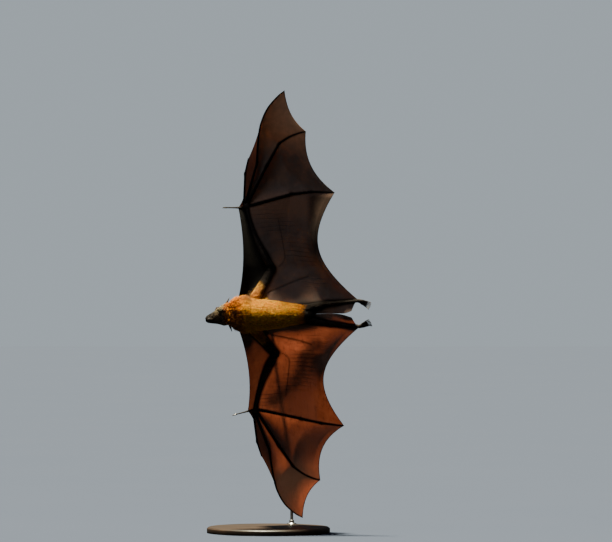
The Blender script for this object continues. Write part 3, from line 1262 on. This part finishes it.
def wing_panels(word):
    """The skin panels and fingers of one wing, on the left side."""
    tips = {k: finger["line"][-1] for k, finger in FINGERS.items()}
    bone = {k: (finger["line"], finger["widths"]) for k, finger in FINGERS.items()}
    upper = np.linspace(shoulder, elbow, 361)
    arm = [(upper, bone_width(upper, (14, 12, 10.5, 9.6, 9, 8.4)))]
    arm.append((forearm_line, bone_width(forearm_line, FOREARM_RADII)))
    made = []

    veil = {"left": 1.5, "right": 0.0}[word]

    def finger_panel(a, b, sag, lift, pinch, shift, billow):
        rear = free_edge(tips[a], tips[b], wrist, sag, lift, pinch, shift)
        surface = spanned(
            straight(FINGERS[a]["line"][0], FINGERS[b]["line"][0]),
            part_of(rear),
            part_of(FINGERS[a]["line"]),
            part_of(FINGERS[b]["line"]),
            billow,
            gathered(44),
            gathered(64, 0.5),
        )
        made.append(wing_panel(surface, [bone[a], bone[b]], rear, veil=veil))

    finger_panel(3, 4, 0.11, 3, 1.2, 0.04, 7)
    finger_panel(4, 5, 0.15, 14, 1.12, 0.0, 12)

    second, third = FINGERS[2]["line"], FINGERS[3]["line"]
    rear = free_edge(second[-1], at_share(third, 0.62), wrist, 0.02, 0, 1)
    surface = spanned(
        straight(second[0], third[0]),
        part_of(rear),
        part_of(second),
        part_of(third, 0.0, 0.62),
        0,
        gathered(22),
        gathered(44, 0.3),
    )
    made.append(wing_panel(surface, [bone[2], bone[3]], rear, dusk=0.5))

    inner_arm = bone_line([flank_line[0], elbow, wrist + (-2, 0, 0)], (0, FOREARM_BOW))
    rear = free_edge(ankle, tips[5], elbow, 0.252, 8, 1.5, 0.05)
    fifth = FINGERS[5]["line"]

    def along_fifth(share):
        share = np.asarray(share, float)
        start = inner_arm[-1] + (at_share(fifth, 0.04) - inner_arm[-1]) * (share / 0.04)[..., None]
        return np.where((share < 0.04)[..., None], start, at_share(fifth, share))

    surface = spanned(
        part_of(inner_arm), part_of(rear), part_of(flank_line), along_fifth, 20, gathered(100, 0.5), gathered(96, 0.5)
    )
    leg = (leg_line, bone_width(leg_line, LEG_RADII))
    made.append(wing_panel(surface, [*arm, bone[5], leg], rear, strands=True, veil=veil * 0.6))

    corner = thumbs[word][0] * 0.15 + thumbs[word][1] * 0.85
    root = np.array([70.0, 42, 12])
    front = free_edge(root, corner, elbow, 0.056, -22, 1)
    surface = spanned(
        part_of(front), part_of(arm_line), straight(root, shoulder), straight(corner, wrist), 4, gathered(80, 0.4), gathered(34)
    )
    made.append(wing_panel(surface, arm, front, dusk={"left": 1.0, "right": 0.4}[word]))

    stop = at_share(second, 0.42)
    front = free_edge(corner, stop, wrist, 0.1, 0, 1)
    surface = spanned(
        part_of(front), straight(wrist, stop), straight(corner, wrist), straight(stop, at_share(second, 0.43)), 0, gathered(24, 0.3), gathered(14)
    )
    made.append(wing_panel(surface, [bone[2]], front, dusk=0.5))

    midline = smooth_line([(-118, 0.5, -4), (-190, 0.5, -14), (-212, 3, -27), (-229, 9, -30)])
    outer = smooth_line([(-110, 15, -5), knee, ankle * 0.9 + knee * 0.1])
    surface = spanned(
        straight(midline[0], outer[0]), straight(midline[-1], outer[-1]), part_of(midline), part_of(outer), -1, gathered(30), gathered(60, 0.4)
    )
    made.append(wing_panel(surface, [leg], midline[220:]))
    made += [finger_tube(finger["line"], finger["widths"]) for finger in FINGERS.values()]
    return made


WING_NODES = ["finger_2", "finger_3", "finger_4", "finger_5", "propatagium", "thumb_web", "membrane_2_3"]
WING_NODES += ["membrane_3_4", "membrane_4_5", "plagiopatagium", "tail_membrane"]


def build_wing(word):
    points, faces, values, start = [], [], {}, 0
    for spots, quads, numbers in wing_panels(word):
        points.append(spots)
        faces.append(quads + start)
        start += len(spots)
        for name, value in numbers.items():
            values.setdefault(name, []).append(value)
    points, faces = np.concatenate(points), np.concatenate(faces)
    if word == "right":
        points, faces = points * (1, -1, 1), faces[:, ::-1]
    values = {name: np.concatenate(value) for name, value in values.items()}
    return mesh_piece(f"wing_skin_{word}", points, faces, values)


# How far out from the middle the coat runs onto the wing, at places along the body
FUR_ON_WING = ((-14, -4, 5, 9, 16, 58, 74), (30, 48, 72, 80, 78, 49, 34))


def build_wing_fur(wings):
    """The coat's edge on the wings: a wedge along the upper arm."""
    random = np.random.default_rng(23)
    samples = [skin_samples(wing, random, 1.5) for wing in wings]
    spots, normals = (np.concatenate([sample[k] for sample in samples]) for k in (0, 1))
    inside = np.interp(spots[:, 0], *FUR_ON_WING, left=0, right=0) - np.abs(spots[:, 1]) + random.normal(0, 2, len(spots))
    keep = (inside > 0) & (random.random(len(spots)) < np.clip(inside / 6, 0.3, 0.8)) & (np.abs(spots[:, 1]) > 30)
    spots, normals, inside = spots[keep], normals[keep], inside[keep]
    lie = np.array([-0.55, 0, 0]) + np.sign(spots[:, 1:2]) * np.array([0, 0.9, 0])
    lie = lie + 0.06 * drifting(spots, 9) + 0.18 * (random.random((len(spots), 3)) - 0.5)
    lie = unit(lie - normals * np.sum(lie * normals, axis=1)[:, None] * 0.9)
    one = np.ones(len(spots))
    field = [lie, 6 + 5 * np.clip(inside / 16, 0, 1), 0.95 * one, 0.16 * one, one]
    return grow_tufts("coat_shoulders", spots, normals, field, 5, random, "gold_fur")


wings = {word: build_wing(word) for word in ("left", "right")}
build_wing_fur(wings.values())
for word, wing in wings.items():
    to_stand(wing, WING, "membrane", [f"{node}_{word}" for node in WING_NODES])

# ------------------------------------------------------------------ ears, eyes and claws


def build_ear(word):
    """A leaf rolled into a cup, with a soft rim and faint cross folds."""
    base, tip = np.array(EAR_BASE, float), np.array(EAR_TIPS[word], float)
    axis = tip - base
    length = np.linalg.norm(axis)
    axis = axis / length
    opening = np.array([0.92, 0.3, -0.15])
    opening = unit(opening - axis * np.dot(opening, axis))
    across = np.cross(axis, opening)
    piece = begin(f"ear_cup_{word}")
    bpy.ops.mesh.primitive_grid_add(x_subdivisions=18, y_subdivisions=26, size=2)
    bpy.ops.object.mode_set(mode="OBJECT")
    grid = points_of(piece)
    u, v = (grid[:, 0] + 1) / 2, (grid[:, 1] + 1) / 2
    widths = (0.62, 0.84, 0.97, 1, 0.97, 0.88, 0.74, 0.55, 0.3, 0.07)
    rolls = (2.3, 2.0, 1.6, 1.3, 1.1, 0.95, 0.85, 0.75, 0.65)
    half = 9.5 * np.interp(v, np.linspace(0, 1, 10), widths)
    roll = np.interp(v, np.linspace(0, 1, 9), rolls)
    turn = (2 * u - 1) * roll
    folds = 0.22 * np.sin(v * 38) * np.sin(np.pi * u) * np.clip(v * 4 - 1, 0, 1) * np.clip(3 - v * 4, 0, 1)
    points = base + axis * ((v * 1.24 - 0.24) * length)[:, None]
    points = points + across * (np.sin(turn) * half / roll)[:, None]
    points = points + opening * ((1 - np.cos(turn)) * half / roll - 3 * (1 - v) + folds)[:, None]
    if word == "right":
        points = points * (1, -1, 1)
    set_points(piece, points)
    apply_modifier(piece, "SOLIDIFY", thickness=1.1, offset=0)
    bpy.ops.object.mode_set(mode="EDIT")
    bpy.ops.mesh.select_all(action="SELECT")
    bpy.ops.mesh.normals_make_consistent(inside=False)
    bpy.ops.object.mode_set(mode="OBJECT")
    apply_modifier(piece, "SUBSURF", levels=1, render_levels=1)
    piece.data.transform(HEAD_TURN)
    to_stand(piece, EAR, "dark_skin", [f"ear_{word}"])


def build_eye(word):
    sign = 1 if word == "left" else -1
    centre = HEAD_TURN @ Vector((EYE_AT[0], sign * EYE_AT[1], EYE_AT[2]))
    look = HEAD_TURN.to_3x3() @ Vector((EYE_LOOK[0], sign * EYE_LOOK[1], EYE_LOOK[2])).normalized()
    piece = begin(f"eyeball_{word}")
    bpy.ops.mesh.primitive_uv_sphere_add(segments=40, ring_count=24, radius=EYE_RADIUS)
    bpy.ops.mesh.select_all(action="DESELECT")
    shape = bmesh.from_edit_mesh(piece.data)
    for vertex in shape.verts:
        bulge = max(0.0, vertex.co.z / EYE_RADIUS - 0.8) / 0.2
        vertex.co.z += 0.55 * bulge * bulge * (3 - 2 * bulge)
        vertex.select = True
    place_selected(Matrix.Translation(centre) @ look.to_track_quat("Z", "Y").to_matrix().to_4x4())
    bpy.ops.object.mode_set(mode="OBJECT")
    middle = BAT_TO_STAND @ centre
    facing = (BAT_TO_STAND.to_3x3() @ look).normalized()
    to_stand(piece, eye_material(f"eye_{word}", middle, facing), "eye", [f"eye_{word}"])


def claw_parts(word):
    """The claws of the thumb, second finger and toes of one side."""
    thumb = bone_line(thumbs[word])
    tip, heading = thumb[-1], headings(thumb)[-1]
    hook = np.array([0.1, 0, -0.95])
    spot = lambda along, across: tip + heading * along + hook * across
    line = smooth_line([spot(-2.5, 0), spot(3.5, 0.2), spot(8.5, 2.6), spot(9.8, 7.2)])
    parts = [limb("claw", line, share_list(6), (1.9, 2.1, 1.8, 1.35, 0.85, 0.2), squash=1.15, sides=12)]
    second = FINGERS[2]["line"]
    tip, heading = second[-1], headings(second)[-1]
    hook = np.array([0.5, 0, -0.8])
    line = smooth_line([spot(-1.2, 0), spot(2.6, 0.3), spot(4.5, 3.3)])
    parts.append(limb("claw", line, share_list(4), (1.1, 1.0, 0.7, 0.15), sides=10))
    for toe, claw in toe_lines():
        parts.append(limb("claw", claw, share_list(5), (1.35, 1.3, 1.05, 0.7, 0.15), squash=1.2, sides=10))
    if word == "right":
        for part in parts:
            part.data.transform(Matrix.Diagonal((1, -1, 1, 1)))
            part.data.flip_normals()
    return parts


for word in ("left", "right"):
    build_ear(word)
    build_eye(word)
    to_stand(joined(f"claws_{word}", claw_parts(word)), HORN, "dark_skin")

# ------------------------------------------------------------------ display stand


def build_base():
    """A turned wooden base with a rounded top edge and a small step near the foot."""
    bpy.ops.object.select_all(action="DESELECT")
    bpy.ops.mesh.primitive_cylinder_add(vertices=128, radius=0.165, depth=0.016, location=(0, 0, 0.008))
    piece = bpy.context.object
    bpy.ops.object.transform_apply(location=True)
    bpy.ops.object.mode_set(mode="EDIT")
    bpy.ops.mesh.select_all(action="DESELECT")
    shape = bmesh.from_edit_mesh(piece.data)
    for face in shape.faces:
        face.select = face.normal.z > 0.9
    bmesh.update_edit_mesh(piece.data)
    bpy.ops.mesh.inset(thickness=0.005, depth=0)
    bpy.ops.mesh.extrude_region_move(TRANSFORM_OT_translate={"value": (0, 0, 0)})
    bpy.ops.mesh.select_all(action="DESELECT")
    bpy.ops.object.mode_set(mode="OBJECT")
    for vertex in piece.data.vertices:
        reach = math.hypot(vertex.co.x, vertex.co.y)
        if vertex.co.z > 0.015 and reach > 0.164:
            vertex.co.z = 0.012
    apply_modifier(piece, "WELD", merge_threshold=0.00001)
    apply_modifier(piece, "BEVEL", width=0.0012, segments=3, limit_method="ANGLE", angle_limit=0.5)
    bpy.ops.object.shade_smooth_by_angle(angle=math.radians(35))
    piece.name = piece.data.name = "display_base"
    dress(piece, WOOD, "base_wood", ["stand_base"], smooth=False)


def rod_line():
    """The rod's path in the stand's frame: up behind the wing and in to the back."""
    on_back = np.array([-14, -17, 35.0])
    outward = unit(on_back * (0, 1, 1))
    spots = [Vector(on_back + outward * reach) for reach in (52, -8)]
    corners = [np.array((62, 128, 16.0)), np.array((62, 128, 200.0))]
    corners += [np.array(BAT_TO_STAND @ spot) * 1000 for spot in spots]
    points = [corners[0]]
    for before, corner, after in zip(corners, corners[1:], corners[2:]):
        first = corner + unit(before - corner) * 42
        last = corner + unit(after - corner) * 42
        points += [points[-1] + (first - points[-1]) * s for s in (0.25, 0.5, 0.75)]
        points += [(1 - t) ** 2 * first + 2 * t * (1 - t) * corner + t * t * last for t in np.linspace(0, 1, 9)]
    points += [points[-1] + (corners[-1] - points[-1]) * s for s in (0.5, 1)]
    return np.array(points)


def build_rod():
    line = smooth_line(rod_line(), 240)
    shares = share_list(80)
    rod = limb("display_rod", line, shares, [4] * 80, facing=np.array([1.0, 0, 0]), sides=20, cuts=0)
    rod.data.transform(Matrix.Scale(0.001, 4))
    dress(rod, STEEL, "steel", ["stand_rod"], smooth=False)
    bpy.ops.object.shade_smooth_by_angle(angle=math.radians(40))
    collar = begin("rod_collar")
    profile = ((13, 16.1), (13, 17.6), (12, 18.6), (7.4, 19.2), (6.6, 20), (6.6, 26), (5.8, 27.2), (4.3, 27.4))
    for radius, height in profile:
        ring_at((62, 128, height), (radius, 0, 0), (0, radius, 0), 48)
    close_rings(0)
    collar.data.transform(Matrix.Scale(0.001, 4))
    dress(collar, STEEL, "steel", smooth=False)
    bpy.ops.object.shade_smooth_by_angle(angle=math.radians(30))


build_base()
build_rod()

# ------------------------------------------------------------------ floor, light and camera


def build_studio():
    bpy.ops.object.select_all(action="DESELECT")
    bpy.ops.mesh.primitive_plane_add(size=60, location=(0, 0, 0))
    floor = bpy.context.object
    floor.name = floor.data.name = "studio_floor"
    floor.data.materials.append(floor_material())

    def lamp(name, place, aim, size, power, colour):
        light = bpy.data.lights.new(name, "AREA")
        light.shape, light.size, light.energy, light.color = "DISK", size, power, colour
        holder = bpy.data.objects.new(name, light)
        bpy.context.scene.collection.objects.link(holder)
        holder.location = place
        holder.rotation_euler = (Vector(aim) - Vector(place)).to_track_quat("-Z", "Y").to_euler()

    key = bpy.data.lights.new("key_above", "SUN")
    key.energy, key.angle, key.color = 22.0, math.radians(7), (1.0, 0.93, 0.66)
    holder = bpy.data.objects.new("key_above", key)
    bpy.context.scene.collection.objects.link(holder)
    holder.rotation_euler = (-Vector((-0.10, -0.014, 1.0))).to_track_quat("-Z", "Y").to_euler()
    lamp("fill_front", (-1.5, -3.2, 5.6), (0, 0, 0.6), 2.5, 70, (0.92, 0.95, 1.0))
    world = bpy.data.worlds.new("studio_air")
    bpy.context.scene.world = world
    world.use_nodes = True
    tree = world.node_tree
    tree.nodes.clear()
    out = tree.nodes.new("ShaderNodeOutputWorld")
    seen = shader_node(tree, "ShaderNodeBackground", {"Color": (0.37, 0.425, 0.465, 1), "Strength": 1.0})
    air = shader_node(tree, "ShaderNodeBackground", {"Color": (0.70, 0.86, 1.0, 1), "Strength": 0.045})
    path = tree.nodes.new("ShaderNodeLightPath")
    both = shader_node(tree, "ShaderNodeMixShader", {0: path.outputs["Is Camera Ray"]})
    tree.links.new(air.outputs[0], both.inputs[1])
    tree.links.new(seen.outputs[0], both.inputs[2])
    tree.links.new(both.outputs[0], out.inputs["Surface"])
    camera = bpy.data.objects.new("camera", bpy.data.cameras.new("camera"))
    bpy.context.scene.collection.objects.link(camera)
    camera.location = (0.10065, -12.130, 0.7009)
    camera.rotation_euler = (math.radians(90), 0, 0)
    camera.data.lens, camera.data.sensor_width = 266.4, 36
    camera.data.clip_start, camera.data.clip_end = 0.1, 200
    bpy.context.scene.camera = camera


build_studio()

bpy.context.view_layer.update()
